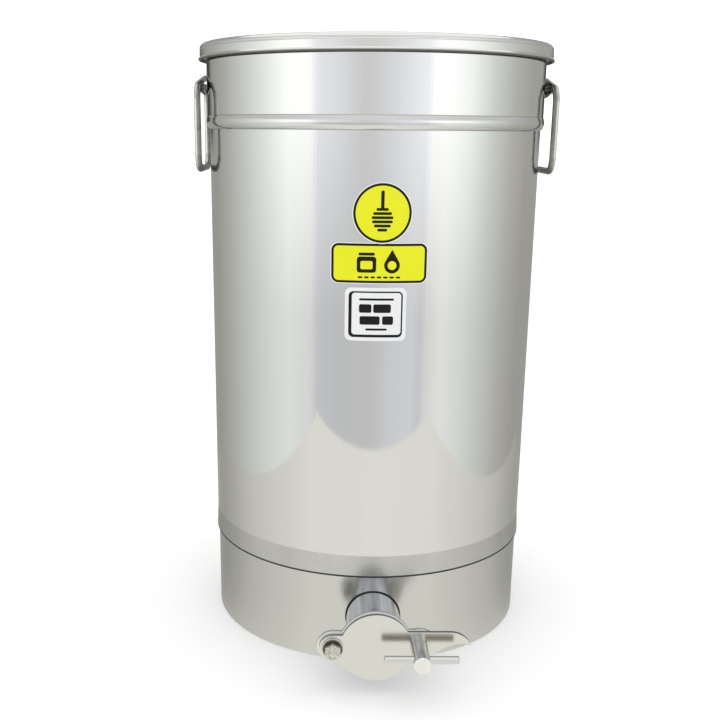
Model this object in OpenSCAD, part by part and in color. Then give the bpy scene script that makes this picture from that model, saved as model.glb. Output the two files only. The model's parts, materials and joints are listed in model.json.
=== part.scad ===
// Stainless honey settling and bottling tank with a swing gate.
// Z is up, Z = 0 is the floor the base stands on, the outlet points to -Y.

/* [Tank] */
// Outside diameter of the cylindrical tank wall
tank_d = 305; // [290:1:330]
// Height of the tank rim above the floor
rim_z = 533.5; // [500:0.5:600]
// Thickness of the stainless sheet
sheet = 1; // [0.8:0.1:1.2]
// Height of the seam between the tank and its base
seam_z = 83; // [80:1:100]
// Height of the middle of the stiffening bead
bead_z = 474.5; // [460:0.5:480]
// How far the stiffening bead stands proud of the wall
bead_proud = 3; // [1.5:0.5:3]
// Slope of the tank floor down to the outlet, in degrees
floor_slope = 2.5; // [1:0.5:3]

/* [Lid] */
// Outside radius of the lid's edge
lid_r = 161.5; // [161:0.5:163]
// Height of the lid's top above the tank rim
lid_rise = 8; // [7:0.5:10]
// Depth of the shallow dish pressed into the lid's top
dish_depth = 1.5; // [0.5:0.5:2]

/* [Handles] */
// Diameter of the handle wire
wire_d = 6; // [5:0.5:7]
// Width of a handle between the middles of its legs
handle_w = 84; // [70:1:90]
// Drop of a handle from the middle of its top bar to the middle of its grip
handle_drop = 73; // [60:1:80]
// Height of the handle's pivot
handle_z = 506; // [500:1:510]
// Width of the sheet bracket that holds a handle
bracket_w = 38; // [30:1:50]

/* [Outlet] */
// Outside diameter of the outlet pipe
pipe_d = 48.3; // [42:0.1:50]
// Wall thickness of the outlet pipe
pipe_wall = 2; // [1.5:0.1:2]
// Height of the middle of the outlet pipe
pipe_z = 44.3; // [40:0.1:48]
// Thickness of each gate plate
plate_t = 4; // [3:0.5:4]
// Radius of the round middle of the swing gate
gate_r = 30.7; // [30:0.1:32]
// Distance from the outlet's middle to the gate's pivot and to its clamp
gate_reach = 37; // [36:0.5:40]
// Length of the clamp screw's cross bar
tee_l = 62.7; // [50:0.1:70]

/* [Labels] */
// Diameter of the round upper label
roundel_d = 49; // [40:1:60]
// Width of the long middle label along the wall
band_label_w = 80; // [60:1:90]
// Width of the lower label along the wall
plate_label_w = 51; // [40:1:60]

/* [Hidden] */
$fn = 96;

tank_r = tank_d / 2;
tank_in = tank_r - sheet;

// Tank wall: flare over the seam, bead, wider collar and rolled rim
flare_h = 20;
flare_out = 0.9;
bead_h = 12;
bead_arc = (pow(bead_h / 2, 2) + pow(bead_proud, 2)) / (2 * bead_proud);
collar_out = 2;
curl_r = 2.2;

// Base: tucked up inside the tank wall, rolled in at the floor
skirt_r = tank_in;
skirt_top = seam_z + flare_h + 10;
hem_w = 2.5;
hem_h = 8;

// Tank floor: its height at the front edge
floor_front_z = 18;

// Lid
lid_gap = 0.3;
lid_bottom = rim_z - 6.5;
lid_top = rim_z + lid_rise;
lid_side_r = lid_r - 1.2;
lid_shoulder = 4.5;
dish_r = tank_r - 12;
gasket_in = tank_r - 1;
gasket_out = lid_side_r - sheet - 0.8;

// Handles and brackets
wire_r = wire_d / 2;
handle_x = tank_r + collar_out + wire_r + 2.2;
corner_r = 14;
bracket_h = 17;
bracket_foot = 1.2;
strap = 1.5;

// Outlet: plates stacked away from the tank
pipe_r = pipe_d / 2;
bore_r = pipe_r - pipe_wall;
pipe_back = tank_r - 6.5;
seal_t = 1.2;
seal_front = tank_r - 0.3;
plate_back = 203;
plate_front = plate_back + plate_t;
flap_gap = 0.3;
flap_back = plate_front + flap_gap;
flap_front = plate_back + 2 * plate_t;
seal_r = bore_r + 3.5;
seal_w = 2.5;

// Gate pivot and clamp, both M8
bolt_r = 4;
run_fit = 0.05;
lug_r = 11.5;
arm_top = 14.9;
arm_round_x = 63.3;
arm_round_r = 18.95;
notch_x = 73.2;
notch_z = -27.3;
notch_r = 31.65;
slot_w = 9;
slot_sweep = 24;
stem_r = 7.35;
stem_front = 241;
washer_t = 1.2;
bar_y = 231;
bar_r = 3.5;

// Labels: thin patches on the tank wall
label_t = 0.25;
roundel_z = 403.6;
roundel_x = 0.8;
band_z = 363;
band_h = 33.5;
band_x = -1;
plate_label_z = 320.7;
plate_label_h = 44.6;
plate_label_x = -3.3;

steel = "#c9c9c6";
dark_steel = "#8d9094";
rubber_black = "#1c1c1c";

// ---------- shared shapes ----------

// Points of an arc, from angle a to angle b
function arc(x, z, r, a, b, n = 8) =
    [for (i = [0 : n]) [x + r * cos(a + (b - a) * i / n), z + r * sin(a + (b - a) * i / n)]];

// Cylinder along -Y from depth y0 to depth y1 (both measured in front of the tank axis)
module rod_y(x, z, r, y0, y1) {
    translate([x, -y0, z]) rotate([90, 0, 0]) cylinder(r = r, h = y1 - y0);
}

// Plate across the pipe's axis: each child is an outline in X and Z (Z from the pipe's middle)
module plate_y(y0, y1) {
    translate([0, -y0, pipe_z]) rotate([90, 0, 0])
        for (i = [0 : $children - 1]) linear_extrude(y1 - y0) children(i);
}

// Washer along -Y
module ring_y(x, z, r_out, r_in, y0, y1) {
    difference() {
        rod_y(x, z, r_out, y0, y1);
        rod_y(x, z, r_in, y0 - 1, y1 + 1);
    }
}

// ---------- tank ----------

module tank_shell() {
    bead_x = tank_r + bead_proud - bead_arc;
    bead_a = asin(bead_h / 2 / bead_arc);
    collar_r = tank_r + collar_out;
    collar_z = bead_z + bead_h / 2 + 1;
    curl_x = collar_r + curl_r - sheet / 2;
    curl_z = rim_z - curl_r;
    outer = concat(
        [[tank_r + flare_out, seam_z], [tank_r, seam_z + flare_h]],
        arc(bead_x, bead_z, bead_arc, -bead_a, bead_a),
        [[collar_r, collar_z + 2], [collar_r, curl_z - 1]]);
    inner = concat(
        [[collar_r - sheet, curl_z], [collar_r - sheet, collar_z + 2]],
        arc(bead_x, bead_z, bead_arc - sheet, bead_a, -bead_a),
        [[tank_in, bead_z - bead_h / 2], [tank_in, seam_z + flare_h], [tank_in + flare_out, seam_z]]);
    curl = arc(curl_x, curl_z, curl_r, -60, 180, 12);
    color(steel) rotate_extrude() polygon(concat(outer, [[curl_x - 0.6, curl_z - 1]], curl, inner));
}

module base_skirt() {
    color(steel) difference() {
        rotate_extrude() polygon([
            [skirt_r, skirt_top], [skirt_r - sheet, skirt_top], [skirt_r - sheet, hem_h],
            [skirt_r - hem_w, hem_h], [skirt_r - hem_w, 0.5], [skirt_r - hem_w + 0.5, 0],
            [skirt_r - 0.5, 0], [skirt_r, 0.5]]);
        rod_y(0, pipe_z, pipe_r + seal_t, pipe_back - 5, tank_r + 5);
    }
}

module tank_floor() {
    floor_mid_z = floor_front_z + (skirt_r - sheet) * tan(floor_slope);
    color(steel) intersection() {
        cylinder(r = skirt_r - sheet, h = skirt_top);
        translate([0, 0, floor_mid_z - sheet]) rotate([floor_slope, 0, 0])
            translate([-tank_r - 5, -tank_r - 5, 0]) cube([tank_d + 10, tank_d + 10, sheet]);
    }
}

// ---------- lid ----------

module lid_pan() {
    shoulder_x = lid_side_r - lid_shoulder;
    shoulder_z = lid_top - lid_shoulder;
    outer = concat(
        [[lid_side_r - sheet, lid_bottom + 1], [lid_side_r, lid_bottom], [lid_r, lid_bottom + 0.8],
         [lid_r, lid_bottom + 2.2], [lid_side_r, lid_bottom + 3.2]],
        arc(shoulder_x, shoulder_z, lid_shoulder, 0, 90),
        [[dish_r + 3, lid_top], [dish_r, lid_top - dish_depth], [0, lid_top - dish_depth]]);
    inner = concat(
        [[0, lid_top - dish_depth - sheet], [dish_r, lid_top - dish_depth - sheet],
         [dish_r + 3, lid_top - sheet]],
        arc(shoulder_x, shoulder_z, lid_shoulder - sheet, 90, 0));
    color(steel) rotate_extrude() polygon(concat(outer, inner));
}

module lid_gasket() {
    color("#d8d8d2") rotate_extrude() polygon([
        [gasket_in, rim_z + lid_gap], [gasket_out, rim_z + lid_gap],
        [gasket_out, lid_top - lid_shoulder], [gasket_out - 1.5, lid_top - sheet - 1],
        [gasket_out - 3, lid_top - sheet], [gasket_in, lid_top - sheet]]);
}

// ---------- handles ----------

// One quarter bend of wire in the handle's plane, turning around [y, z] from angle a
module wire_bend(y, z, a) {
    translate([0, y, z]) rotate([0, -90, 0]) rotate([0, 0, a])
        rotate_extrude(angle = 90) translate([corner_r, 0]) circle(wire_r);
}

// Closed wire loop hanging from its pivot, which lies along Y through the origin
module handle_loop() {
    half = handle_w / 2;
    straight = half - corner_r;
    for (z = [0, -handle_drop])
        translate([0, -straight, z]) rotate([-90, 0, 0]) cylinder(r = wire_r, h = 2 * straight);
    for (y = [-half, half])
        translate([0, y, corner_r - handle_drop]) cylinder(r = wire_r, h = handle_drop - 2 * corner_r);
    wire_bend(straight, -corner_r, 0);
    wire_bend(straight, corner_r - handle_drop, 90);
    wire_bend(-straight, corner_r - handle_drop, 180);
    wire_bend(-straight, -corner_r, 270);
}

// Sheet strap over the handle's top bar, welded to the collar. It slopes out from the wall
// at its top and bottom edges and wraps the bar. Made on the +X side.
module bracket() {
    wall_x = tank_r + collar_out;
    pivot_r = wire_r + run_fit;
    outer_r = pivot_r + strap;
    edge = [wall_x + bracket_foot - handle_x, bracket_h / 2];
    lean = atan2(edge[1], edge[0]) - acos(outer_r / norm(edge));
    deep_x = wall_x - 2;
    slide = (handle_x + pivot_r * cos(lean) - deep_x) / sin(lean);
    inner_z = pivot_r * sin(lean) + slide * cos(lean);
    difference() {
        translate([0, bracket_w / 2, handle_z]) rotate([90, 0, 0]) linear_extrude(bracket_w)
            difference() {
                union() {
                    translate([handle_x, 0]) circle(outer_r);
                    polygon([
                        [deep_x, -bracket_h / 2], [wall_x + bracket_foot, -bracket_h / 2],
                        [handle_x + 0.999 * outer_r * cos(lean), -0.999 * outer_r * sin(lean)],
                        [handle_x + 0.999 * outer_r * cos(lean), 0.999 * outer_r * sin(lean)],
                        [wall_x + bracket_foot, bracket_h / 2], [deep_x, bracket_h / 2]]);
                }
                polygon([
                    [deep_x - 1, -inner_z], [deep_x, -inner_z],
                    [handle_x + 0.99 * pivot_r * cos(lean), -0.99 * pivot_r * sin(lean)],
                    [handle_x + 0.99 * pivot_r * cos(lean), 0.99 * pivot_r * sin(lean)],
                    [deep_x, inner_z], [deep_x - 1, inner_z]]);
            }
        translate([handle_x, bracket_w, handle_z]) rotate([90, 0, 0])
            cylinder(r = pivot_r, h = 2 * bracket_w);
        translate([0, 0, handle_z - 30]) cylinder(r = wall_x, h = 60, $fn = 720);
    }
}

// ---------- outlet ----------

module outlet_pipe() {
    color(steel) ring_y(0, pipe_z, pipe_r, bore_r, pipe_back, plate_back);
}

module outlet_seal() {
    color(rubber_black) ring_y(0, pipe_z, pipe_r + seal_t, pipe_r, pipe_back, seal_front);
}

// Web between the round middle of the gate and its pivot lug: level on top, and along the
// circles' common tangent underneath. Its corners lie just inside both circles.
module lug_web(lug, disc) {
    lean = asin((disc - lug) / gate_reach);
    lug_in = 0.997 * lug;
    disc_in = 0.997 * disc;
    polygon([
        [-gate_reach, 0], [-gate_reach, lug_in], [-gate_r / 2, lug_in], [0, 0],
        [-disc_in * sin(lean), -disc_in * cos(lean)],
        [-gate_reach - lug_in * sin(lean), -lug_in * cos(lean)]]);
}

module gate_plate() {
    plate_lug = lug_r + 1.8;
    plate_disc = gate_r + 0.9;
    color(steel) difference() {
        plate_y(plate_back, plate_front) {
            circle(plate_disc);
            translate([-gate_reach, 0]) circle(plate_lug);
            lug_web(plate_lug, plate_disc);
            translate([gate_reach, 0]) circle(arm_top + 0.8);
            translate([0, -arm_top]) square([gate_reach, 2 * arm_top]);
        }
        rod_y(0, pipe_z, bore_r, plate_back - 1, plate_front + 1);
        rod_y(-gate_reach, pipe_z, bolt_r, plate_back - 1, plate_front + 1);
        rod_y(gate_reach, pipe_z, bolt_r, plate_back - 1, plate_front + 1);
        ring_y(0, pipe_z, seal_r + seal_w, seal_r, plate_front - 2, plate_front + 1);
    }
}

module gate_seal() {
    color("#e6e3da") ring_y(0, pipe_z, seal_r + seal_w, seal_r, plate_front - 2, plate_front);
}

module gate_flap() {
    stud_path = 2 * gate_reach;
    arm_low = -8;
    color(steel) difference() {
        plate_y(flap_back, flap_front) {
            circle(gate_r);
            translate([-gate_reach, 0]) circle(lug_r);
            lug_web(lug_r, gate_r);
            translate([gate_reach, 0]) circle(arm_top);
            translate([0, arm_low]) square([arm_round_x, arm_top - arm_low]);
            intersection() {
                translate([arm_round_x, arm_top - arm_round_r]) circle(arm_round_r);
                translate([arm_round_x - 1, arm_low]) square([arm_round_r + 2, arm_top - arm_low]);
            }
        }
        rod_y(notch_x, pipe_z + notch_z, notch_r, flap_back - 1, flap_front + 1);
        rod_y(-gate_reach, pipe_z, bolt_r + run_fit, flap_back - 1, flap_front + 1);
        rod_y(gate_reach, pipe_z, slot_w / 2 + 0.1, flap_back - 1, flap_front + 1);
        translate([-gate_reach, 0, pipe_z]) rotate([90, 0, 0]) rotate([0, 0, -slot_sweep])
            translate([0, 0, flap_back - 1]) rotate_extrude(angle = slot_sweep)
                translate([stud_path - slot_w / 2, 0]) square([slot_w, plate_t + 2]);
    }
}

// Hexagon prism along -Y, given the distance across its flats
module hex_y(x, z, flats, y0, y1) {
    translate([x, -y0, z]) rotate([90, 30, 0]) cylinder(d = flats / cos(30), h = y1 - y0, $fn = 6);
}

module pivot_bolt() {
    head_back = flap_front + 3.4;
    color(dark_steel) {
        rod_y(-gate_reach, pipe_z, bolt_r, plate_back - 10, head_back + 1);
        intersection() {
            hex_y(-gate_reach, pipe_z, 13, head_back, head_back + 5.3);
            translate([-gate_reach, -head_back, pipe_z]) rotate([90, 0, 0])
                rotate_extrude() polygon([[0, 0], [9, 0], [9, 4.1], [6.4, 5.3], [0, 5.3]]);
        }
    }
}

module pivot_washer() {
    color(steel) ring_y(-gate_reach, pipe_z, 9.5, bolt_r, flap_front + 0.3, flap_front + 1.9);
}

module pivot_spring_washer() {
    gap_w = 1.2;
    color(dark_steel) difference() {
        ring_y(-gate_reach, pipe_z, 6.8, bolt_r, flap_front + 1.9, flap_front + 3.4);
        translate([-gate_reach - gap_w / 2, -flap_front - 4, pipe_z + 1]) cube([gap_w, 3, 8]);
    }
}

module pivot_nut() {
    color(dark_steel) difference() {
        union() {
            hex_y(-gate_reach, pipe_z, 13, plate_back - 6.5, plate_back);
            rod_y(-gate_reach, pipe_z, 5.8, plate_back - 8, plate_back - 6.5);
        }
        rod_y(-gate_reach, pipe_z, bolt_r, plate_back - 9, plate_back + 1);
    }
}

module clamp_stud() {
    color(dark_steel) {
        rod_y(gate_reach, pipe_z, bolt_r, plate_back - 3, bar_y - bar_r - 2.5);
        rod_y(gate_reach, pipe_z, 7.5, plate_back - 3, plate_back);
    }
}

module clamp_washer() {
    back = flap_front + 0.3;
    color(dark_steel) ring_y(gate_reach, pipe_z, stem_r, bolt_r + run_fit, back, back + washer_t);
}

module clamp_nut() {
    back = flap_front + 0.4 + washer_t;
    color(steel) difference() {
        translate([gate_reach, -back, pipe_z]) rotate([90, 0, 0]) rotate_extrude() polygon([
            [0, 0], [stem_r - 0.4, 0], [stem_r, 0.4], [stem_r, stem_front - back - 0.6],
            [stem_r - 0.6, stem_front - back], [0, stem_front - back]]);
        rod_y(gate_reach, pipe_z, bolt_r + run_fit, back - 1, bar_y - bar_r - 1.5);
        translate([0, -bar_y, pipe_z]) rotate([0, 90, 0]) cylinder(r = bar_r, h = 2 * gate_reach);
    }
}

module clamp_bar() {
    half = tee_l / 2;
    color(steel) translate([gate_reach, -bar_y, pipe_z]) rotate([0, 90, 0]) rotate_extrude() polygon([
        [0, -half], [bar_r - 0.8, -half], [bar_r, 0.8 - half],
        [bar_r, half - 0.8], [bar_r - 0.8, half], [0, half]]);
}

// ---------- handle brackets and handles on both sides ----------

module handle_right_shape() { translate([handle_x, 0, handle_z]) handle_loop(); }

module handle_bracket_right() { color(steel) bracket(); }
module handle_bracket_left() { color(steel) mirror([1, 0, 0]) bracket(); }
module handle_right() { color(steel) handle_right_shape(); }
module handle_left() { color(steel) mirror([1, 0, 0]) handle_right_shape(); }

// ---------- labels ----------

// Patch of the tank's surface, cut by an outline drawn in X and Z
module wall_patch() {
    intersection() {
        difference() {
            cylinder(r = tank_r + label_t, h = rim_z);
            translate([0, 0, -1]) cylinder(r = tank_r, h = rim_z + 2);
        }
        translate([0, -tank_r + 40, 0]) rotate([90, 0, 0]) linear_extrude(50) children();
    }
}

// Rectangle with round corners, centred on [x, z]
module round_box(x, z, w, h, r) {
    translate([x - w / 2, z - h / 2 + r]) square([w, h - 2 * r]);
    translate([x - w / 2 + r, z - h / 2]) square([w - 2 * r, h]);
    for (i = [-1, 1], j = [-1, 1])
        translate([x + i * (w / 2 - r), z + j * (h / 2 - r)]) circle(r);
}

module label_roundel() {
    color("#e4e21c") wall_patch() translate([roundel_x, roundel_z]) circle(d = roundel_d);
}
module label_band() {
    color("#e4e21c") wall_patch() difference() {
        round_box(band_x, band_z, band_label_w, band_h, 6);
        translate([roundel_x, roundel_z]) circle(d = roundel_d + 0.6);
    }
}
module label_plate() {
    color("white") wall_patch()
        round_box(plate_label_x, plate_label_z, plate_label_w, plate_label_h, 5);
}

tank_shell();
base_skirt();
tank_floor();
outlet_pipe();
outlet_seal();
gate_plate();
gate_seal();
pivot_bolt();
pivot_washer();
pivot_spring_washer();
pivot_nut();
clamp_stud();
gate_flap();
clamp_washer();
clamp_nut();
clamp_bar();
handle_bracket_left();
handle_bracket_right();
handle_left();
handle_right();
lid_pan();
lid_gasket();
label_roundel();
label_band();
label_plate();
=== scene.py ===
"""A stainless honey settling tank with a swing gate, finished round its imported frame, in metres."""
import json
import math

import bmesh
import bpy
from mathutils import Matrix, Vector

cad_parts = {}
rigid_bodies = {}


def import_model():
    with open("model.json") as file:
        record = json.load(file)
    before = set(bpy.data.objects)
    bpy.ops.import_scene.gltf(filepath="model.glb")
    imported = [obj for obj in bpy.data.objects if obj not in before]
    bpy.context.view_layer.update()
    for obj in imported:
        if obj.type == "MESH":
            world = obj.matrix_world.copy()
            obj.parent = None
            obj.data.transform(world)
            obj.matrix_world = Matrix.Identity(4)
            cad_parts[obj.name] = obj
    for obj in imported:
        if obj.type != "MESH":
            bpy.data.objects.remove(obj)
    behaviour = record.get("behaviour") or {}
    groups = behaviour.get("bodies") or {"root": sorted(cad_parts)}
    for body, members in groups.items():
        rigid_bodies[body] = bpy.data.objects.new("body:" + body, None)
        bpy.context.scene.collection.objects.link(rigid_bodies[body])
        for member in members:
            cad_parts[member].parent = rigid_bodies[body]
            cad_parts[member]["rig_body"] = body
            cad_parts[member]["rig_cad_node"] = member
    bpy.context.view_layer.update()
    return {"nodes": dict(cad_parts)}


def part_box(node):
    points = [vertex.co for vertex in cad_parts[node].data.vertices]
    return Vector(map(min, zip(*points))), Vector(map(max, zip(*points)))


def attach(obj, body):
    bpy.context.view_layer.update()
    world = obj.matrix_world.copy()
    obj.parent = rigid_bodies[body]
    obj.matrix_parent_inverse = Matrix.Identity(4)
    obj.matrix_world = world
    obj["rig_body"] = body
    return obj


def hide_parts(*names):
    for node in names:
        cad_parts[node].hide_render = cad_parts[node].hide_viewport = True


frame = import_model()

MM = 0.001

# ---------- places and sizes taken from the frame ----------

shell_low, shell_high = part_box("tank_shell")
skirt_low, skirt_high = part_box("base_skirt")
lid_low, lid_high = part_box("lid_pan")
pipe_low, pipe_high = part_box("outlet_pipe")
seal_low, seal_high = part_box("outlet_seal")
bolt_low, bolt_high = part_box("pivot_bolt")
bar_low, bar_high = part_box("clamp_bar")
knob_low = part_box("clamp_nut")[0]
loop_low, loop_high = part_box("handle_right")
roundel_low, roundel_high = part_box("label_roundel")
band_low, band_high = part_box("label_band")
badge_low, badge_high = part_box("label_plate")

SHEET = 1.0 * MM                       # thickness of the sheet steel
WALL_R = skirt_high.x + SHEET          # the base tucks up inside the tank wall
SEAM_Z = shell_low.z
RIM_Z = shell_high.z
PIPE_Z = (pipe_low.z + pipe_high.z) / 2
PIPE_R = pipe_high.x
BEAD_Z = 474.5 * MM                    # middle of the stiffening bead
BEAD_H = 12.4 * MM
BEAD_PROUD = 3.0 * MM
BEAD_LOW = BEAD_Z - BEAD_H / 2         # the two creases along the bead
BEAD_HIGH = BEAD_Z + 5.4 * MM
COLLAR_OUT = 2.0 * MM                  # how much wider the tank is above the bead
FLARE_H = 20.0 * MM                    # the wall widens a little towards the seam
FLARE_OUT = 0.9 * MM
CURL_R = 2.2 * MM                      # outside radius of the rolled rim
WELD_TOGETHER = 0.002 * MM             # points closer than this are merged
ROUND_STEPS = 320                      # faces round the tank, the base and the lid
TUBE_STEPS = 128                       # faces round the pipe and its ring


# ---------- shader maths ----------

class Socket:
    """A node's output. Used in an expression, it adds the Math nodes that work the expression out."""

    def __init__(self, finish, link):
        self.finish = finish
        self.link = link

    def maths(self, operation, *values):
        return self.finish.node("ShaderNodeMath", {"operation": operation}, *values)

    def __add__(self, other):
        return self.maths("ADD", self, other)

    def __radd__(self, other):
        return self.maths("ADD", other, self)

    def __sub__(self, other):
        return self.maths("SUBTRACT", self, other)

    def __rsub__(self, other):
        return self.maths("SUBTRACT", other, self)

    def __mul__(self, other):
        return self.maths("MULTIPLY", self, other)

    def __rmul__(self, other):
        return self.maths("MULTIPLY", other, self)

    def __truediv__(self, other):
        return self.maths("DIVIDE", self, other)

    def __rtruediv__(self, other):
        return self.maths("DIVIDE", other, self)

    def __abs__(self):
        return self.maths("ABSOLUTE", self)

    def highest(self, other):
        return self.maths("MAXIMUM", self, other)

    def lowest(self, other):
        return self.maths("MINIMUM", self, other)

    def root(self):
        return self.maths("SQRT", self)

    def clamped(self):
        return self.lowest(1.0).highest(0.0)


class Finish:
    """One material, built node by node."""

    def __init__(self, name):
        self.material = bpy.data.materials.new(name)
        self.material.use_nodes = True
        self.tree = self.material.node_tree
        self.tree.nodes.clear()

    def node(self, kind, settings=None, *values, out=0, **named):
        """Adds a node: its settings first, then its sockets' values or links, by order or by name."""
        made = self.tree.nodes.new(kind)
        for key, value in (settings or {}).items():
            if key == "stops":
                self.set_stops(made.color_ramp, value)
            else:
                setattr(made, key, value)
        places = list(enumerate(values)) + [(key.replace("_", " "), v) for key, v in named.items()]
        for key, value in places:
            if isinstance(value, Socket):
                self.tree.links.new(value.link, made.inputs[key])
            elif value is not None:
                made.inputs[key].default_value = value
        return Socket(self, made.outputs[out]) if made.outputs else None

    @staticmethod
    def set_stops(ramp, stops):
        while len(ramp.elements) < len(stops):
            ramp.elements.new(0.5)
        for element, (position, colour) in zip(ramp.elements, stops):
            element.position = position
            element.color = (*colour, 1.0)

    def inside(self, x, y):
        """1 on the faces that look towards the middle of the tank, and 0 on the others."""
        normal = self.node("ShaderNodeTexCoord", out="Normal")
        nx, ny = [self.node("ShaderNodeSeparateXYZ", None, normal, out=i) for i in range(2)]
        return ((0 - x * nx - y * ny) * 20).clamped()

    def sheared(self):
        """1 on the cut edges of a plate that faces the front, and 0 on its two faces."""
        normal = self.node("ShaderNodeTexCoord", out="Normal")
        ny = self.node("ShaderNodeSeparateXYZ", None, normal, out=1)
        return (1.6 - abs(ny) * 2.2).clamped()

    def place(self):
        """The X, Y and Z of a point on the piece."""
        point = self.node("ShaderNodeTexCoord", out="Object")
        return point, [self.node("ShaderNodeSeparateXYZ", None, point, out=i) for i in range(3)]

    def stretched(self, point, scale):
        """The point with each axis scaled, so that a noise read there is drawn out along one of them."""
        return self.node("ShaderNodeMapping", {"vector_type": "POINT"}, point, Scale=scale)

    def noise(self, point, scale, detail=3.0, roughness=0.55):
        return self.node("ShaderNodeTexNoise", None, Vector=point, Scale=scale, Detail=detail,
                         Roughness=roughness)

    def mixed(self, factor, first, second):
        """Goes from the first colour to the second as the factor goes from 0 to 1."""
        made = self.tree.nodes.new("ShaderNodeMix")
        made.data_type = "RGBA"
        for index, value in ((0, factor), (6, first), (7, second)):
            if isinstance(value, Socket):
                self.tree.links.new(value.link, made.inputs[index])
            else:
                made.inputs[index].default_value = (*value, 1.0) if index else value
        return Socket(self, made.outputs[2])

    def bump(self, height, distance, strength=1.0):
        return self.node("ShaderNodeBump", None, Strength=strength, Distance=distance, Height=height)

    def surface(self, **named):
        """Ends the material with a Principled surface."""
        shader = self.node("ShaderNodeBsdfPrincipled", None, **named)
        self.node("ShaderNodeOutputMaterial", None, shader)
        return self.material


# ---------- finishes ----------

def steel(name, tint, shine, grain=(260.0, 260.0, 6.0), wobble=0.25 * MM, metallic=1.0, edge=0.0):
    """Bright rolled stainless: a fine grain drawn out along the rolling, faint smears, slow waves.
    edge is how dark the cut edges of a plate are."""
    f = Finish(name)
    point, _ = f.place()
    grain_lines = f.noise(f.stretched(point, grain), 1.0, 4.0)
    smears = f.noise(f.stretched(point, (9.0, 9.0, 4.0)), 1.0, 4.0, 0.6)
    colour = f.mixed(grain_lines * 0.5 + smears * 0.3, [c * 0.93 for c in tint], tint)
    if edge:
        colour = f.mixed(f.sheared() * edge, colour, (0.10, 0.095, 0.085))
    roughness = shine + grain_lines * 0.05 + smears * 0.05 - 0.05
    waves = f.noise(point, 5.0, 1.0, 0.4)
    normal = f.bump(waves, wobble)
    fine = f.node("ShaderNodeBump", None, Strength=0.35, Distance=0.004 * MM, Height=grain_lines,
                  Normal=normal)
    return f.surface(Base_Color=colour, Roughness=roughness, Metallic=metallic, Normal=fine)


def tank_steel():
    """The tank wall: mirror-bright sheet with painted shade in its creases, dull on the inside, with a
    brushed belt just above the seam and a painted shade line along the seam itself."""
    f = Finish("bright_tank_sheet")
    point, (x, y, z) = f.place()
    within = f.inside(x, y)
    belt_top = SEAM_Z + FLARE_H * 1.02
    belt_fade = 1.2 * MM
    seam_top = SEAM_Z + 1.7 * MM
    seam_fade = 0.2 * MM
    crease_w = 0.7 * MM
    belt = ((belt_top - z) / belt_fade + 0.5).clamped() * (1 - within)
    # Painted shade: the seam mask paints the wall's lowest 1.7 mm near black and not metallic, for the
    # shadow in the gap at the seam.
    seam = ((seam_top - z) / seam_fade).clamped()
    # Painted shade: the creases mask darkens the wall along the bead's two creases.
    creases = sum((1 - abs(z - edge) / crease_w).highest(0.0) for edge in (BEAD_LOW, BEAD_HIGH))
    grain_lines = f.noise(f.stretched(point, (220.0, 220.0, 5.0)), 1.0, 4.0)
    smears = f.noise(f.stretched(point, (9.0, 9.0, 2.0)), 1.0, 4.0, 0.6)
    brushed = f.noise(f.stretched(point, (40.0, 40.0, 900.0)), 1.0, 5.0, 0.6)
    blots = f.noise(f.stretched(point, (30.0, 30.0, 14.0)), 1.0, 3.0, 0.6)
    streaks = f.noise(f.stretched(point, (75.0, 75.0, 1.2)), 1.0, 2.0, 0.5)
    bright = f.mixed(grain_lines * 0.4 + smears * 0.5, (0.628, 0.628, 0.618), (0.67, 0.67, 0.66))
    bright = f.mixed((streaks * 2 - 0.5).clamped() * 0.6, bright, (0.665, 0.655, 0.665))
    dull = f.mixed(brushed * 0.35 + blots * 0.7, (0.40, 0.40, 0.385), (0.64, 0.64, 0.625))
    # The painted crease shade goes into the colour here.
    bright = f.mixed((creases * (1 - within)).clamped() * 0.5, bright, (0.25, 0.25, 0.24))
    colour = f.mixed(within, f.mixed(belt, bright, dull), (0.82, 0.82, 0.81))
    # The painted seam shade goes into the colour here.
    colour = f.mixed(seam, colour, (0.006, 0.006, 0.006))
    polished = 0.03 + grain_lines * 0.015 + smears * 0.03
    roughness = polished * (1 - belt) + belt * (0.22 + brushed * 0.10) + (seam + within) * 0.25
    waves = f.noise(f.stretched(point, (5.0, 5.0, 1.5)), 1.0, 1.0, 0.4)
    slow = f.bump(waves, 0.35 * MM)
    fine = f.node("ShaderNodeBump", None, Strength=0.25, Distance=0.004 * MM,
                  Height=grain_lines * (1 - belt) + brushed * belt * 2.5, Normal=slow)
    metallic = (1 - seam) * (1 - within * 0.6)
    return f.surface(Base_Color=colour, Roughness=roughness, Metallic=metallic, Normal=fine)


def spun_steel():
    """The lid: fine rings left by the spinning tool round its axis, and painted shade on its rolled lower
    edge.
    """
    f = Finish("spun_lid_sheet")
    point, (x, y, z) = f.place()
    radius = (x * x + y * y).root()
    rings = f.node("ShaderNodeTexNoise", {"noise_dimensions": "1D"}, W=radius * 900.0 + z * 500.0,
                   Scale=1.0, Detail=3.0)
    smears = f.noise(point, 7.0, 4.0, 0.6)
    colour = f.mixed(rings * 0.5 + smears * 0.4, (0.64, 0.64, 0.62), (0.71, 0.71, 0.70))
    # Painted shade: the lowest 2.4 mm of the lid, its rolled edge, is painted dark brown, less metallic and
    # rougher, for the shadow line under the lid.
    edge_shade_top = lid_low.z + 2.4 * MM
    edge_shade_fade = 1.4 * MM
    painted_shade = ((edge_shade_top - z) / edge_shade_fade).clamped() * (0.75 + smears * 0.5)
    colour = f.mixed(painted_shade.clamped(), colour, (0.085, 0.080, 0.065))
    waves = f.bump(f.noise(point, 6.0, 1.0, 0.4), 0.2 * MM)
    fine = f.node("ShaderNodeBump", None, Strength=0.5, Distance=0.008 * MM, Height=rings, Normal=waves)
    roughness = 0.09 + rings * 0.07 + smears * 0.05 + painted_shade * 0.25
    metallic = 1 - painted_shade.clamped() * 0.7
    return f.surface(Base_Color=colour, Roughness=roughness, Metallic=metallic, Normal=fine)


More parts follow.
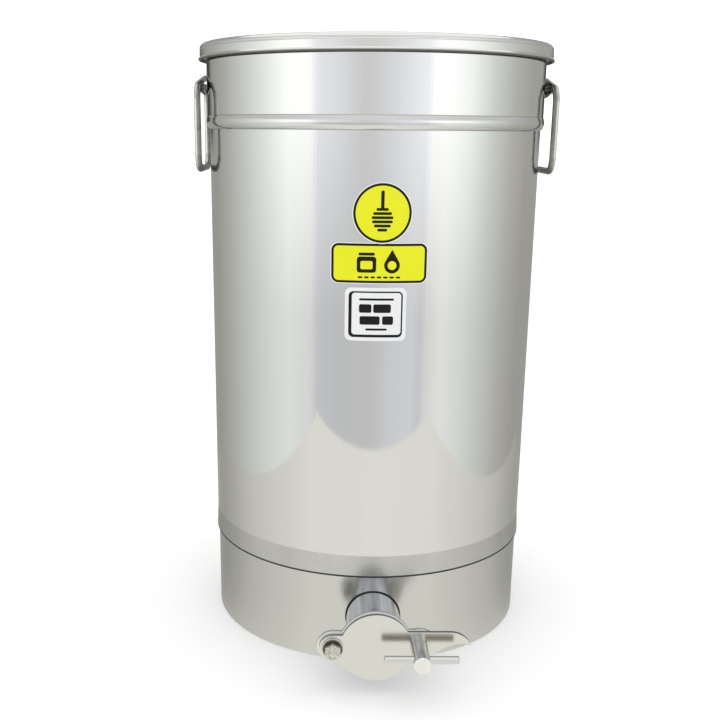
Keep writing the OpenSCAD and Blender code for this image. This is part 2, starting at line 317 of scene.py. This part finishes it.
def turned_steel(name, tint, shine):
    """Lathe-turned steel fasteners, a little duller and warmer than the sheet."""
    f = Finish(name)
    point, _ = f.place()
    marks = f.noise(f.stretched(point, (900.0, 60.0, 900.0)), 1.0, 3.0)
    stains = f.noise(point, 220.0, 4.0, 0.65)
    colour = f.mixed(marks * 0.4 + stains * 0.6, [c * 0.78 for c in tint], tint)
    return f.surface(Base_Color=colour, Roughness=shine + stains * 0.16, Metallic=1.0,
                     Normal=f.bump(marks, 0.01 * MM, 0.5))


def drawn_steel(name, along, dark, light, shine=0.07, faced=None):
    """Drawn bar and tube, with bright and dark lines along it. along is small on the axis they follow.
    An end in front of faced is cut plain."""
    f = Finish(name)
    point, (_, y, _) = f.place()
    lines = f.noise(f.stretched(point, along), 1.0, 3.0, 0.6)
    stains = f.noise(point, 90.0, 3.0, 0.6)
    shade = (lines * 2.2 - 0.6).clamped()
    if faced is not None:
        face = ((faced - y) / (0.2 * MM)).clamped()
        shade = shade.highest(face * (0.75 + stains * 0.4))
    colour = f.mixed(shade, dark, light)
    return f.surface(Base_Color=colour, Roughness=shine + stains * 0.10, Metallic=1.0,
                     Normal=f.bump(lines, 0.03 * MM, 0.6))


def cross_bar_steel():
    """The cross bar: ground bright on the front, and painted shade on the side that
    faces the gate."""
    f = Finish("cross_bar_steel")
    point, (_, y, _) = f.place()
    lines = f.noise(f.stretched(point, (12.0, 400.0, 400.0)), 1.0, 3.0)
    middle_y = (bar_low.y + bar_high.y) / 2
    starts_before = 1.2 * MM
    fade = 1.0 * MM
    # Painted shade: from 1.2 mm before its middle, the back of the bar is painted dark brown and rougher.
    side_shade = ((y - middle_y + starts_before) / fade).clamped()
    ground = f.mixed(lines, (0.52, 0.52, 0.50), (0.70, 0.70, 0.68))
    colour = f.mixed(side_shade, ground, (0.42, 0.38, 0.33))
    return f.surface(Base_Color=colour, Roughness=0.08 + lines * 0.05 + side_shade * 0.2, Metallic=1.0,
                     Normal=f.bump(lines, 0.01 * MM, 0.5))


def handle_steel():
    """Handle wire: bright on its outer side, and painted shade along the side that faces the tank."""
    f = Finish("handle_wire_steel")
    point, (x, _, _) = f.place()
    lines = f.noise(f.stretched(point, (500.0, 60.0, 25.0)), 1.0, 3.0)
    stains = f.noise(point, 120.0, 3.0, 0.6)
    shaded_within_x = (loop_low.x + loop_high.x) / 2 + 1.3 * MM
    fade = 1.2 * MM
    # Painted shade: the side of the wire that faces the tank is painted dark and rougher.
    side_shade = ((shaded_within_x - abs(x)) / fade + 0.1).clamped()
    colour = f.mixed(lines, (0.62, 0.62, 0.60), (0.76, 0.76, 0.73))
    colour = f.mixed(side_shade * (0.5 + stains * 0.5), colour, (0.13, 0.125, 0.11))
    return f.surface(Base_Color=colour, Roughness=0.10 + lines * 0.05 + side_shade * 0.15, Metallic=1.0,
                     Normal=f.bump(lines, 0.01 * MM, 0.5))


def bolt_steel():
    """The pivot bolt: pale stamped face, and painted brown shade that thickens towards its washers."""
    f = Finish("pivot_bolt_steel")
    point, (_, y, _) = f.place()
    stamped = f.noise(point, 520.0, 2.0, 0.6)
    stains = f.noise(point, 240.0, 4.0, 0.65)
    unshaded_depth = 0.5 * MM
    fade = 2.2 * MM
    # Painted shade: behind its first 0.5 mm the bolt's head darkens to brown towards its washers.
    painted_shade = ((y - bolt_low.y - unshaded_depth) / fade).clamped()
    face = f.mixed((stamped * 2.8 - 0.9).clamped(), (0.33, 0.325, 0.28), (0.72, 0.72, 0.67))
    colour = f.mixed(painted_shade, face, (0.24, 0.21, 0.165))
    return f.surface(Base_Color=colour, Roughness=0.20 + stains * 0.2, Metallic=1.0,
                     Normal=f.bump(stamped, 0.12 * MM, 0.6))


def washer_steel():
    """The washer under the bolt: plain at its rim, and painted brown shade round the bolt's head."""
    f = Finish("pivot_washer_steel")
    point, (x, _, z) = f.place()
    x, z, _, head_r = from_middle(x, z, bolt_low, bolt_high)
    stains = f.noise(point, 300.0, 4.0, 0.65)
    shade_r = head_r + 1.5 * MM
    fade = 0.9 * MM
    # Painted shade: a dark brown ring round the bolt's head, less metallic and rougher, with its edge
    # broken by the stains noise.
    painted_shade = ((shade_r - (x * x + z * z).root()) / fade + stains - 0.5).clamped()
    unshaded = f.mixed(stains, (0.62, 0.61, 0.58), (0.72, 0.71, 0.68))
    return f.surface(Base_Color=f.mixed(painted_shade, unshaded, (0.13, 0.11, 0.08)), Roughness=0.2 + painted_shade * 0.3,
                     Metallic=1 - painted_shade * 0.5, Normal=f.bump(stains, 0.02 * MM))


def black_rubber():
    """The ring round the pipe: matt black with a fine grain."""
    f = Finish("black_rubber")
    point, _ = f.place()
    grain = f.noise(point, 900.0, 3.0)
    colour = f.mixed(grain, (0.006, 0.006, 0.006), (0.02, 0.02, 0.02))
    return f.surface(Base_Color=colour, Roughness=0.55 + grain * 0.2, Normal=f.bump(grain, 0.03 * MM))


def pale_silicone():
    """The seals: cream, faintly grained and satin."""
    f = Finish("pale_silicone")
    point, _ = f.place()
    grain = f.noise(point, 500.0, 3.0)
    colour = f.mixed(grain, (0.72, 0.71, 0.66), (0.82, 0.81, 0.77))
    return f.surface(Base_Color=colour, Roughness=0.42 + grain * 0.15, Normal=f.bump(grain, 0.02 * MM))


# ---------- printed labels ----------

YELLOW_FILM = (0.70, 0.72, 0.015)
WHITE_FILM = (0.72, 0.73, 0.74)
BLACK_INK = (0.010, 0.010, 0.009)
WHITE_EDGE = 1.2 * MM                  # width of the white line round the yellow labels
BAND_CORNER = 4.8 * MM


def box_gap(x, z, half_w, half_h, corner):
    """How far a point is outside a rectangle with round corners. It is negative inside."""
    across = abs(x) - (half_w - corner)
    up = abs(z) - (half_h - corner)
    outside = (across.highest(0.0) * across.highest(0.0) + up.highest(0.0) * up.highest(0.0)).root()
    return outside + across.highest(up).lowest(0.0) - corner


def inked(gap, softness=0.12 * MM):
    """1 where the gap is negative, with a slightly soft print edge."""
    return (0.5 - gap / softness).clamped()


def label_finish(name, paper, ink_for, margin=None):
    """Glossy printed film. ink_for says where it is black, and margin how far a point is outside the
    line that a white edge is left beyond."""
    f = Finish(name)
    point, (x, _, z) = f.place()
    ink = ink_for(x, z).clamped()
    fade = f.noise(point, 60.0, 3.0)
    ground = f.mixed(fade, [c * 0.94 for c in paper], paper)
    if margin:
        ground = f.mixed(inked(margin(x, z)), WHITE_FILM, ground)
    colour = f.mixed(ink, ground, BLACK_INK)
    ripple = f.noise(point, 300.0, 2.0)
    return f.surface(Base_Color=colour, Roughness=0.26 + ripple * 0.10 + ink * 0.06,
                     Specular_IOR_Level=0.12, Normal=f.bump(ripple, 0.02 * MM))


def from_middle(x, z, low, high):
    """The point measured from the middle of a box seen from the front, and the box's half width and
    half height."""
    half_w, half_h = (high.x - low.x) / 2, (high.z - low.z) / 2
    return x - (low.x + half_w), z - (low.z + half_h), half_w, half_h


def roundel_ink(x, z):
    """A ring near the edge and a honey dipper inside it."""
    x, z, radius, _ = from_middle(x, z, roundel_low, roundel_high)
    ring_r = radius - 1.7 * MM
    ink = inked(abs((x * x + z * z).root() - ring_r) - 1.0 * MM)
    ink = ink + inked(box_gap(x, z - 10.0 * MM, 1.4 * MM, 8.0 * MM, 1.2 * MM))
    for row, half_w in enumerate((5.0, 7.6, 8.8, 8.4, 6.8, 4.0)):
        height = (3.0 - 3.3 * row) * MM
        ink = ink + inked(box_gap(x, z - height, half_w * MM, 1.15 * MM, 1.0 * MM))
    return ink


def roundel_margin(x, z):
    """How far a point is outside the roundel's yellow."""
    x, z, radius, _ = from_middle(x, z, roundel_low, roundel_high)
    return (x * x + z * z).root() - (radius - WHITE_EDGE)


def band_margin(x, z):
    """How far a point is outside the band's yellow."""
    x, z, half_w, half_h = from_middle(x, z, band_low, band_high)
    return box_gap(x, z, half_w - WHITE_EDGE, half_h - WHITE_EDGE, BAND_CORNER)


def band_ink(x, z):
    """A border, a honey jar and a drop side by side, and a broken rule under them."""
    x, z, half_w, half_h = from_middle(x, z, band_low, band_high)
    border_in, aside = 1.6 * MM, 10.5 * MM
    border = box_gap(x, z, half_w - border_in, half_h - border_in, BAND_CORNER)
    ink = inked(abs(border) - 1.0 * MM)
    jar_x, jar_z = x + aside, z + 1.0 * MM
    jar = inked(box_gap(jar_x, jar_z, 8.0 * MM, 6.6 * MM, 2.6 * MM))
    window = inked(box_gap(jar_x, jar_z + 0.4 * MM, 5.0 * MM, 3.4 * MM, 1.4 * MM))
    jar_lid = inked(box_gap(jar_x, jar_z - 8.6 * MM, 6.6 * MM, 1.2 * MM, 0.8 * MM))
    ink = ink + jar * (1 - window) + jar_lid
    drop_x, drop_z = x - aside, z + 1.6 * MM
    centre_gap = (drop_x * drop_x + drop_z * drop_z).root()
    tip = (abs(drop_x) * 0.866 + (drop_z - 13.0 * MM) * 0.5).highest(3.25 * MM - drop_z)
    ink = ink + inked((centre_gap - 6.5 * MM).lowest(tip)) * (1 - inked(centre_gap - 3.6 * MM))
    for step in range(7):
        dash_x = x - (step - 3) * 5.2 * MM
        ink = ink + inked(box_gap(dash_x, z + 11.4 * MM, 1.8 * MM, 0.8 * MM, 0.4 * MM))
    return ink


def badge_ink(x, z):
    """A border that is heavy on the left and at the bottom, round rows of bars of different lengths.
    Each row gives its height, its bars' half height, and each bar's place and half length, in mm."""
    x, z, half_w, half_h = from_middle(x, z, badge_low, badge_high)
    outer = box_gap(x, z, half_w - 3.0 * MM, half_h - 3.0 * MM, 4.0 * MM)
    inner = box_gap(x - 0.7 * MM, z - 0.5 * MM, half_w - 5.0 * MM, half_h - 4.8 * MM, 2.6 * MM)
    ink = inked(outer) * (1 - inked(inner))
    rows = ((12.6, 0.9, ((0.7, 14.5),)), (5.0, 3.6, ((-8.6, 5.2), (5.4, 7.4))),
            (-5.0, 3.6, ((-4.8, 8.4), (10.2, 4.6))), (-12.6, 0.9, ((0.7, 9.0),)))
    for up, half_up, bars in rows:
        corner = min(half_up, 1.6) * MM
        for across, half_bar in bars:
            gap = box_gap(x - across * MM, z - up * MM, half_bar * MM, half_up * MM, corner)
            ink = ink + inked(gap)
    return ink


# ---------- modelling ----------

def start_piece(name, add, **settings):
    """Adds a primitive with nothing else selected and leaves it in edit mode, all selected."""
    bpy.ops.object.select_all(action="DESELECT")
    add(**settings)
    piece = bpy.context.object
    piece.name = name
    piece.data.name = name
    bpy.ops.object.mode_set(mode="EDIT")
    bpy.ops.mesh.select_all(action="SELECT")
    return piece


def turned(name, outline, steps, centre=(0, 0, 0), axis=(0, 0, 1)):
    """Draws an outline of (radius, height) points vertex by vertex, closes it unless both of its ends
    are on the axis, and spins it round the axis."""
    axis = Vector(axis)
    centre = Vector(centre)
    out = Vector((1, 0, 0))
    points = [centre + out * r + axis * h for r, h in outline]
    piece = start_piece(name, bpy.ops.mesh.primitive_plane_add, size=MM, location=points[0])
    bpy.ops.object.mode_set(mode="OBJECT")
    bpy.ops.object.transform_apply(location=True, rotation=True, scale=True)
    bpy.ops.object.mode_set(mode="EDIT")
    bpy.ops.mesh.merge(type="CENTER")
    for before, after in zip(points, points[1:]):
        bpy.ops.mesh.extrude_region_move(TRANSFORM_OT_translate={"value": after - before})
    bpy.ops.mesh.select_all(action="SELECT")
    if outline[0][0] > 0 or outline[-1][0] > 0:
        close_outline(points)
    bpy.ops.mesh.spin(steps=steps, angle=2 * math.pi, center=centre, axis=axis)
    bpy.ops.mesh.select_all(action="SELECT")
    bpy.ops.mesh.remove_doubles(threshold=WELD_TOGETHER)
    bpy.ops.mesh.normals_make_consistent(inside=False)
    bpy.ops.object.mode_set(mode="OBJECT")
    smooth(piece)
    return piece


def close_outline(points):
    """Joins the outline's last vertex to its first."""
    mesh = bpy.context.edit_object.data
    drawn = bmesh.from_edit_mesh(mesh)
    for vertex in drawn.verts:
        ends = min((vertex.co - points[0]).length, (vertex.co - points[-1]).length)
        vertex.select_set(ends < 0.001 * MM)
    drawn.select_flush(True)
    bmesh.update_edit_mesh(mesh)
    bpy.ops.mesh.edge_face_add()
    bpy.ops.mesh.select_all(action="SELECT")


def smooth(piece, degrees=35):
    """Shades a piece smooth, with a crease wherever two faces meet at more than that angle."""
    bpy.ops.object.select_all(action="DESELECT")
    piece.select_set(True)
    bpy.context.view_layer.objects.active = piece
    bpy.ops.object.shade_smooth_by_angle(angle=math.radians(degrees))


def modified(piece, kind, **settings):
    """Adds a modifier and applies it."""
    bpy.ops.object.select_all(action="DESELECT")
    piece.select_set(True)
    bpy.context.view_layer.objects.active = piece
    modifier = piece.modifiers.new(kind.title(), kind)
    for key, value in settings.items():
        setattr(modifier, key, value)
    bpy.ops.object.modifier_apply(modifier=modifier.name)


def softened(node, name, width, segments=3):
    """A merged copy of a CAD node whose sharp edges are broken by a small bevel."""
    source = frame["nodes"][node]
    bpy.ops.object.select_all(action="DESELECT")
    piece = source.copy()
    piece.data = source.data.copy()
    piece.parent = None
    piece.name = name
    piece.data.name = name
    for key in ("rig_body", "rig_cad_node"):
        del piece[key]
    bpy.context.scene.collection.objects.link(piece)
    bpy.context.view_layer.objects.active = piece
    piece.select_set(True)
    bpy.ops.mesh.customdata_custom_splitnormals_clear()
    bpy.ops.object.mode_set(mode="EDIT")
    bpy.ops.mesh.select_all(action="SELECT")
    bpy.ops.mesh.remove_doubles(threshold=WELD_TOGETHER)
    bpy.ops.mesh.dissolve_limited(angle_limit=math.radians(0.5))
    bpy.ops.object.mode_set(mode="OBJECT")
    modified(piece, "BEVEL", width=width, segments=segments, limit_method="ANGLE",
             angle_limit=math.radians(40), use_clamp_overlap=True)
    smooth(piece)
    modified(piece, "WEIGHTED_NORMAL", mode="FACE_AREA", weight=100, keep_sharp=True)
    return piece


def arc(x, z, r, start, end, count):
    """Points along an arc, with angles in degrees."""
    angles = [math.radians(start + (end - start) * i / count) for i in range(count + 1)]
    return [(x + r * math.cos(a), z + r * math.sin(a)) for a in angles]


def ease(t):
    """Goes from 0 to 1 as t does, slowly at both ends."""
    t = min(max(t, 0.0), 1.0)
    return t * t * (3 - 2 * t)


def fit(piece, material, body, node):
    """Gives a finished piece its material and its body, and hides the CAD node it stands for."""
    piece.data.materials.clear()
    piece.data.materials.append(material)
    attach(piece, body)
    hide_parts(node)


# ---------- tank ----------

def wall_radius(z):
    """Outside radius of the tank wall: flare, straight wall, bead, then the wider collar."""
    flare = FLARE_OUT * max(0.0, 1 - (z - SEAM_Z) / FLARE_H)
    off = (z - BEAD_Z) / (BEAD_H * (0.70 if z > BEAD_Z else 0.50))
    bead = BEAD_PROUD * (1 - off ** 2) ** 0.8 if abs(off) < 1 else 0.0
    collar = COLLAR_OUT * ease((z - BEAD_Z) / (BEAD_H * 0.40))
    return WALL_R + flare + max(bead, collar)


def tank_wall():
    """The wall: its outside from the seam up to the rolled rim, and the same line back inside it."""
    heights = [SEAM_Z + FLARE_H * i / 6 for i in range(7)] + [SEAM_Z + FLARE_H + 1 * MM]
    under_bead = (180, 3, 0.6)         # rings that hold the wall straight below the bead
    heights += [BEAD_Z - BEAD_H / 2 - gap * MM for gap in under_bead]
    heights += [BEAD_Z + BEAD_H * (i / 24 - 0.5) for i in range(29)]
    curl_x = WALL_R + COLLAR_OUT + CURL_R - SHEET / 2
    curl_z = RIM_Z - CURL_R
    heights += [curl_z - 2.0 * MM]
    outer = [(wall_radius(z), z) for z in heights]
    inner = [(r - SHEET, z) for r, z in reversed(outer)]
    curl = [(curl_x - 1.0 * MM, curl_z - 1.6 * MM)] + arc(curl_x, curl_z, CURL_R, -60, 180, 16)
    return turned("tank_wall", outer + curl + inner, steps=ROUND_STEPS)


def base_ring():
    """The base: a plain skirt with its bottom edge folded in, and a hole for the outlet."""
    out, top, bottom = skirt_high.x, skirt_high.z, skirt_low.z
    fold_w, fold_h, soft = 2.5 * MM, 8.0 * MM, 0.5 * MM
    inside, fold = out - SHEET, out - fold_w
    outline = [
        (out, bottom + soft), (out, SEAM_Z - 20 * MM), (out, SEAM_Z), (out, top), (inside, top),
        (inside, SEAM_Z), (inside, bottom + fold_h), (fold + soft, bottom + fold_h),
        (fold, bottom + fold_h - soft), (fold, bottom + soft), (fold + soft, bottom),
        (out - soft, bottom)]
    piece = turned("base_ring", outline, steps=ROUND_STEPS)
    hole_r = PIPE_R + 0.9 * MM
    start_piece("hole_cutter", bpy.ops.mesh.primitive_cylinder_add, vertices=96, radius=hole_r,
                depth=60 * MM, location=(0, -WALL_R, PIPE_Z), rotation=(math.pi / 2, 0, 0))
    bpy.ops.object.mode_set(mode="OBJECT")
    cutter = bpy.context.object
    modified(piece, "BOOLEAN", operation="DIFFERENCE", solver="EXACT", object=cutter)
    bpy.data.objects.remove(cutter)
    smooth(piece)
    return piece


def lid_cover():
    """The lid: rolled lower edge, short side, a crease, a round shoulder and a shallow dished top."""
    side = lid_high.x - 1.2 * MM
    low, top = lid_low.z, lid_high.z
    shoulder, crease_z = 4.3 * MM, 537.0 * MM
    dish_r, dish, step_w = 140.5 * MM, 1.5 * MM, 3 * MM
    edge_r = 1.35 * MM
    roll = arc(lid_high.x - edge_r, low + edge_r, edge_r, -150, 60, 10)
    side_line = [(side, low + 3.2 * MM), (side, low + 3.6 * MM), (side, crease_z - 1.1 * MM),
                 (side, crease_z - 0.7 * MM), (side - 0.35 * MM, crease_z),
                 (side - 0.1 * MM, crease_z + 0.5 * MM)]
    round_top = arc(side - shoulder, top - shoulder, shoulder, 10, 90, 8)
    step = [(dish_r + step_w * (1 - i / 6), top - dish * ease(i / 6)) for i in range(7)]
    outer = roll + side_line + round_top + step + [(dish_r * 0.5, top - dish), (0.0, top - dish)]
    underside = top - dish - SHEET
    inner = [(0.0, underside), (dish_r * 0.5, underside), (dish_r, underside),
             (dish_r + step_w, top - SHEET), (side - shoulder, top - SHEET)]
    inner += arc(side - shoulder, top - shoulder, shoulder - SHEET, 80, 0, 6)
    inner += [(side - SHEET, low + 3.4 * MM), (side - SHEET, low + 1.2 * MM)]
    return turned("lid_cover", outer + inner, steps=ROUND_STEPS)


def spout_pipe():
    """The outlet pipe, with a small weld fillet where it meets the gate plate."""
    back, front = -pipe_high.y, -pipe_low.y
    bore = PIPE_R - 2.0 * MM
    weld = 1.6 * MM
    fillet = arc(PIPE_R + weld, front - weld, weld, 180, 90, 6)
    chamfer = 0.3 * MM
    outline = [(bore, back), (PIPE_R - chamfer, back), (PIPE_R, back + chamfer), (PIPE_R, back + 8 * MM)]
    outline += fillet + [(PIPE_R, front), (bore, front)]
    return turned("spout_pipe", outline, centre=(0, 0, PIPE_Z), axis=(0, -1, 0), steps=TUBE_STEPS)


def pipe_grommet():
    """The black ring round the pipe where it leaves the base."""
    back, front = -seal_high.y, -seal_low.y
    outer = PIPE_R + 0.85 * MM
    round_front = arc(PIPE_R + 0.45 * MM, front - 0.45 * MM, 0.4 * MM, 0, 180, 8)
    outline = [(PIPE_R + 0.05 * MM, back), (outer, back)] + round_front
    return turned("pipe_grommet", outline, centre=(0, 0, PIPE_Z), axis=(0, -1, 0), steps=TUBE_STEPS)


# ---------- studio ----------

WARM = (1.02, 1.01, 0.94)
GREEN = (0.98, 1.03, 0.98)
PLAIN = (1.0, 1.01, 1.0)
COOL = (0.97, 0.99, 1.03)

# Degrees round from the front, how bright the room is low down and high up, and its tint
ROOM = [
    (-180, 0.30, 0.30, WARM), (-140, 0.41, 0.40, WARM), (-120, 0.55, 0.56, WARM), (-100, 0.74, 0.80, GREEN),
    (-80, 0.93, 1.12, GREEN), (-60, 1.08, 1.52, GREEN), (-44, 1.00, 1.52, PLAIN), (-38, 0.82, 1.21, COOL),
    (-25, 0.77, 1.10, COOL), (-10, 0.77, 0.90, PLAIN), (0, 0.78, 0.94, PLAIN), (9, 0.89, 1.05, COOL),
    (25, 0.94, 1.26, COOL), (31, 0.84, 1.35, COOL), (35, 0.98, 1.54, PLAIN), (46, 1.11, 1.54, PLAIN),
    (60, 1.00, 1.36, GREEN), (80, 0.79, 0.91, GREEN), (100, 0.59, 0.64, WARM), (120, 0.46, 0.50, WARM),
    (140, 0.41, 0.43, WARM), (180, 0.30, 0.30, WARM)]

# Degrees away from the front on either side, and how bright the table is there
TABLE = [(0, 1.05), (42, 1.03), (52, 0.97), (62, 0.93), (75, 0.87), (90, 0.79), (106, 0.69), (118, 0.58),
         (131, 0.50), (146, 0.42), (180, 0.40)]


def bearing(f, x, y):
    """Half turns round from the front of the tank, from -1 to 1."""
    return f.node("ShaderNodeMath", {"operation": "ARCTAN2"}, x, 0 - y) / math.pi


def glowing(f, light):
    """Ends a material with light of that colour."""
    emission = f.node("ShaderNodeEmission", None, light, 1.0)
    f.node("ShaderNodeOutputMaterial", None, emission)
    return f.material


def ring_wall(radius=2.5, low=-1.7, high=2.6):
    """A tall ring of soft light round the set, which only mirrored rays meet. Going up, its low tones
    fade into its high tones, and those into a ceiling. A dark doorway stands on each side of its back."""
    ring = start_piece("light_ring", bpy.ops.mesh.primitive_cylinder_add, vertices=128, radius=radius,
                       depth=high - low, location=(0, 0, (high + low) / 2), end_fill_type="NOTHING")
    bpy.ops.mesh.flip_normals()
    bpy.ops.object.mode_set(mode="OBJECT")
    bpy.ops.object.transform_apply(location=True, rotation=True, scale=True)
    f = Finish("light_ring")
    _, (x, y, z) = f.place()
    turn = bearing(f, x, y)
    lower = [((deg + 180) / 360, [low_tone * c for c in tint]) for deg, low_tone, _, tint in ROOM]
    upper = [((deg + 180) / 360, [high_tone * c for c in tint]) for deg, _, high_tone, tint in ROOM]
    along = turn * 0.5 + 0.5
    lower_light = f.node("ShaderNodeValToRGB", {"stops": lower}, along)
    upper_light = f.node("ShaderNodeValToRGB", {"stops": upper}, along)
    fade_below_floor, fade_over = 0.10, 0.62
    room = f.mixed(((z + fade_below_floor) / fade_over).clamped(), lower_light, upper_light)
    ceiling_tone, ceiling_from, ceiling_over = 0.93, 0.82, 0.20
    overhead = [(degrees / 180, [tone * ceiling_tone for _ in range(3)]) for degrees, tone in TABLE]
    ceiling = f.node("ShaderNodeValToRGB", {"stops": overhead}, abs(turn))
    room = f.mixed(((z - ceiling_from) / ceiling_over).clamped(), room, ceiling)
    near_jamb, far_jamb = 0.79, 0.95
    sill, lintel = 0.38, 0.74
    width = ((abs(turn) - near_jamb) * 18).clamped() * ((far_jamb - abs(turn)) * 14).clamped()
    height = ((z - sill) * 9).clamped() * ((lintel - z) * 14).clamped()
    room = f.mixed(width * height * 0.9, room, (0.02, 0.02, 0.02))
    ring.data.materials.append(glowing(f, room))
    ring.visible_camera = False
    ring.visible_diffuse = False
    ring.visible_shadow = False


def pale_floor():
    """The floor that the tank stands on, and a glowing cream card standing in for the table top that
    the steel mirrors, with painted shade near the tank.
    """
    f = Finish("pale_floor")
    point, _ = f.place()
    mottle = f.noise(point, 3.0, 3.0)
    white = f.surface(Base_Color=f.mixed(mottle, (0.95, 0.95, 0.95), (0.97, 0.97, 0.97)), Roughness=0.9)
    floor = start_piece("floor", bpy.ops.mesh.primitive_plane_add, size=14.0, location=(0, 0, -0.4 * MM))
    bpy.ops.mesh.subdivide(number_cuts=3)
    bpy.ops.object.mode_set(mode="OBJECT")
    floor.data.materials.append(white)
    floor.visible_glossy = False
    f = Finish("table_top")
    _, (x, y, _) = f.place()
    stops = [(degrees / 180, [tone * c for c in WARM]) for degrees, tone in TABLE]
    # Painted shade: closer to the tank the ramp is read further round, so the glowing card darkens there,
    # for the tank's shadow on the table.
    shade_near_tank = 0.93 + 0.115 / (x * x + y * y).root()
    cream = f.node("ShaderNodeValToRGB", {"stops": stops}, abs(bearing(f, x, y)) * shade_near_tank)
    table = start_piece("table_top", bpy.ops.mesh.primitive_plane_add, size=1.0,
                        location=(0, -0.19, -0.8 * MM))
    bpy.ops.transform.resize(value=(1.19, 1.22, 1.0))
    bpy.ops.object.mode_set(mode="OBJECT")
    bpy.ops.object.transform_apply(location=True, rotation=True, scale=True)
    table.data.materials.append(glowing(f, cream))
    table.visible_camera = False
    table.visible_diffuse = False
    table.visible_shadow = False


def white_world():
    """Even white light from all round."""
    world = bpy.data.worlds.new("studio")
    bpy.context.scene.world = world
    world.use_nodes = True
    background = world.node_tree.nodes["Background"]
    background.inputs["Color"].default_value = (1.0, 1.0, 1.0, 1.0)
    background.inputs["Strength"].default_value = 1.25


def place_camera():
    """A standing view, a little above the middle of the tank, tilted down."""
    data = bpy.data.cameras.new("camera")
    data.sensor_width = 36.0
    data.lens = 51.3
    data.shift_x = 0.0464
    data.shift_y = 0.0861
    camera = bpy.data.objects.new("camera", data)
    bpy.context.scene.collection.objects.link(camera)
    eye = (-48.8 * MM, -997.3 * MM, 468.7 * MM)
    tilt, heading, roll = math.radians(-15.93), math.radians(-0.378), math.radians(0.447)
    turn = Matrix.Rotation(heading, 4, "Z") @ Matrix.Rotation(math.pi / 2 + tilt, 4, "X")
    turn = turn @ Matrix.Rotation(roll, 4, "Z")
    camera.matrix_world = Matrix.Translation(eye) @ turn
    bpy.context.scene.camera = camera


place_camera()
white_world()
ring_wall()
pale_floor()
bpy.context.scene.view_settings.view_transform = "Standard"

# ---------- the object ----------

PLATE_GRAIN = (60.0, 60.0, 700.0)      # brushed lines that run across a plate
SHEET_GREY = (0.60, 0.60, 0.585)

bright = tank_steel()
base_sheet = steel("base_sheet", SHEET_GREY, shine=0.20)
lid_sheet = spun_steel()
flap_steel = steel("flap_steel", (0.68, 0.675, 0.655), shine=0.17, grain=PLATE_GRAIN, wobble=0.05 * MM,
                   edge=0.8)
plate_steel = steel("back_plate_steel", (0.80, 0.80, 0.79), shine=0.30, grain=PLATE_GRAIN,
                    wobble=0.05 * MM, metallic=0.5, edge=0.6)
bar_steel = steel("ground_bar_steel", SHEET_GREY, shine=0.08, grain=(60.0, 400.0, 400.0),
                  wobble=0.02 * MM)
bracket_steel = steel("bracket_sheet", (0.30, 0.30, 0.285), shine=0.22, grain=(300.0, 20.0, 300.0),
                      wobble=0.05 * MM)
floor_steel = steel("tank_floor_sheet", (0.80, 0.80, 0.79), shine=0.25, grain=(90.0, 4.0, 90.0),
                    wobble=0.3 * MM, metallic=0.4)
pipe_steel = drawn_steel("drawn_pipe_steel", along=(190.0, 4.0, 190.0), dark=(0.30, 0.32, 0.35),
                         light=(0.76, 0.78, 0.80))
nut_steel = drawn_steel("drawn_nut_steel", along=(330.0, 8.0, 330.0), dark=(0.28, 0.28, 0.27),
                        light=(0.80, 0.80, 0.78), faced=knob_low.y + 0.6 * MM)
wire_steel = handle_steel()
fastener_steel = turned_steel("fastener_steel", (0.62, 0.59, 0.54), shine=0.22)
spring_steel = turned_steel("dark_spring_steel", (0.12, 0.11, 0.09), shine=0.35)
rubber = black_rubber()
silicone = pale_silicone()

fit(tank_wall(), bright, "tank", "tank_shell")
fit(base_ring(), base_sheet, "tank", "base_skirt")
fit(spout_pipe(), pipe_steel, "tank", "outlet_pipe")
fit(lid_cover(), lid_sheet, "lid", "lid_pan")
fit(pipe_grommet(), rubber, "tank", "outlet_seal")

# CAD node, the piece's name, its body, its finish, its bevel in mm, and its slot
SOFT_EDGED = [
    ("gate_plate", "gate_back_plate", "tank", plate_steel, 0.60, "gate_steel"),
    ("gate_flap", "swing_flap", "flap", flap_steel, 0.60, "gate_steel"),
    ("pivot_bolt", "hex_bolt", "tank", bolt_steel(), 0.35, "fastener_steel"),
    ("pivot_nut", "lock_nut", "tank", plate_steel, 0.25, "fastener_steel"),
    ("pivot_washer", "flat_washer", "tank", washer_steel(), 0.25, "fastener_steel"),
    ("pivot_spring_washer", "spring_washer", "tank", spring_steel, 0.15, "fastener_steel"),
    ("clamp_washer", "press_washer", "clamp_ring", bar_steel, 0.15, "fastener_steel"),
    ("clamp_nut", "round_nut", "clamp", nut_steel, 0.40, "gate_steel"),
    ("clamp_bar", "cross_bar", "clamp", cross_bar_steel(), 0.50, "gate_steel"),
    ("handle_bracket_left", "strap_left", "tank", bracket_steel, 0.25, "satin_steel"),
    ("handle_bracket_right", "strap_right", "tank", bracket_steel, 0.25, "satin_steel"),
]
for node, name, body, material, width, slot in SOFT_EDGED:
    fit(softened(node, name, width * MM), material, body, node)

# CAD nodes that keep their own mesh
KEPT = {
    "tank_floor": floor_steel,
    "gate_seal": silicone,
    "clamp_stud": fastener_steel,
    "handle_left": wire_steel,
    "handle_right": wire_steel,
    "lid_gasket": silicone,
    "label_roundel": label_finish("yellow_roundel", YELLOW_FILM, roundel_ink, roundel_margin),
    "label_band": label_finish("yellow_band", YELLOW_FILM, band_ink, band_margin),
    "label_plate": label_finish("white_badge", WHITE_FILM, badge_ink),
}
for node, material in KEPT.items():
    frame["nodes"][node].data.materials[0] = material
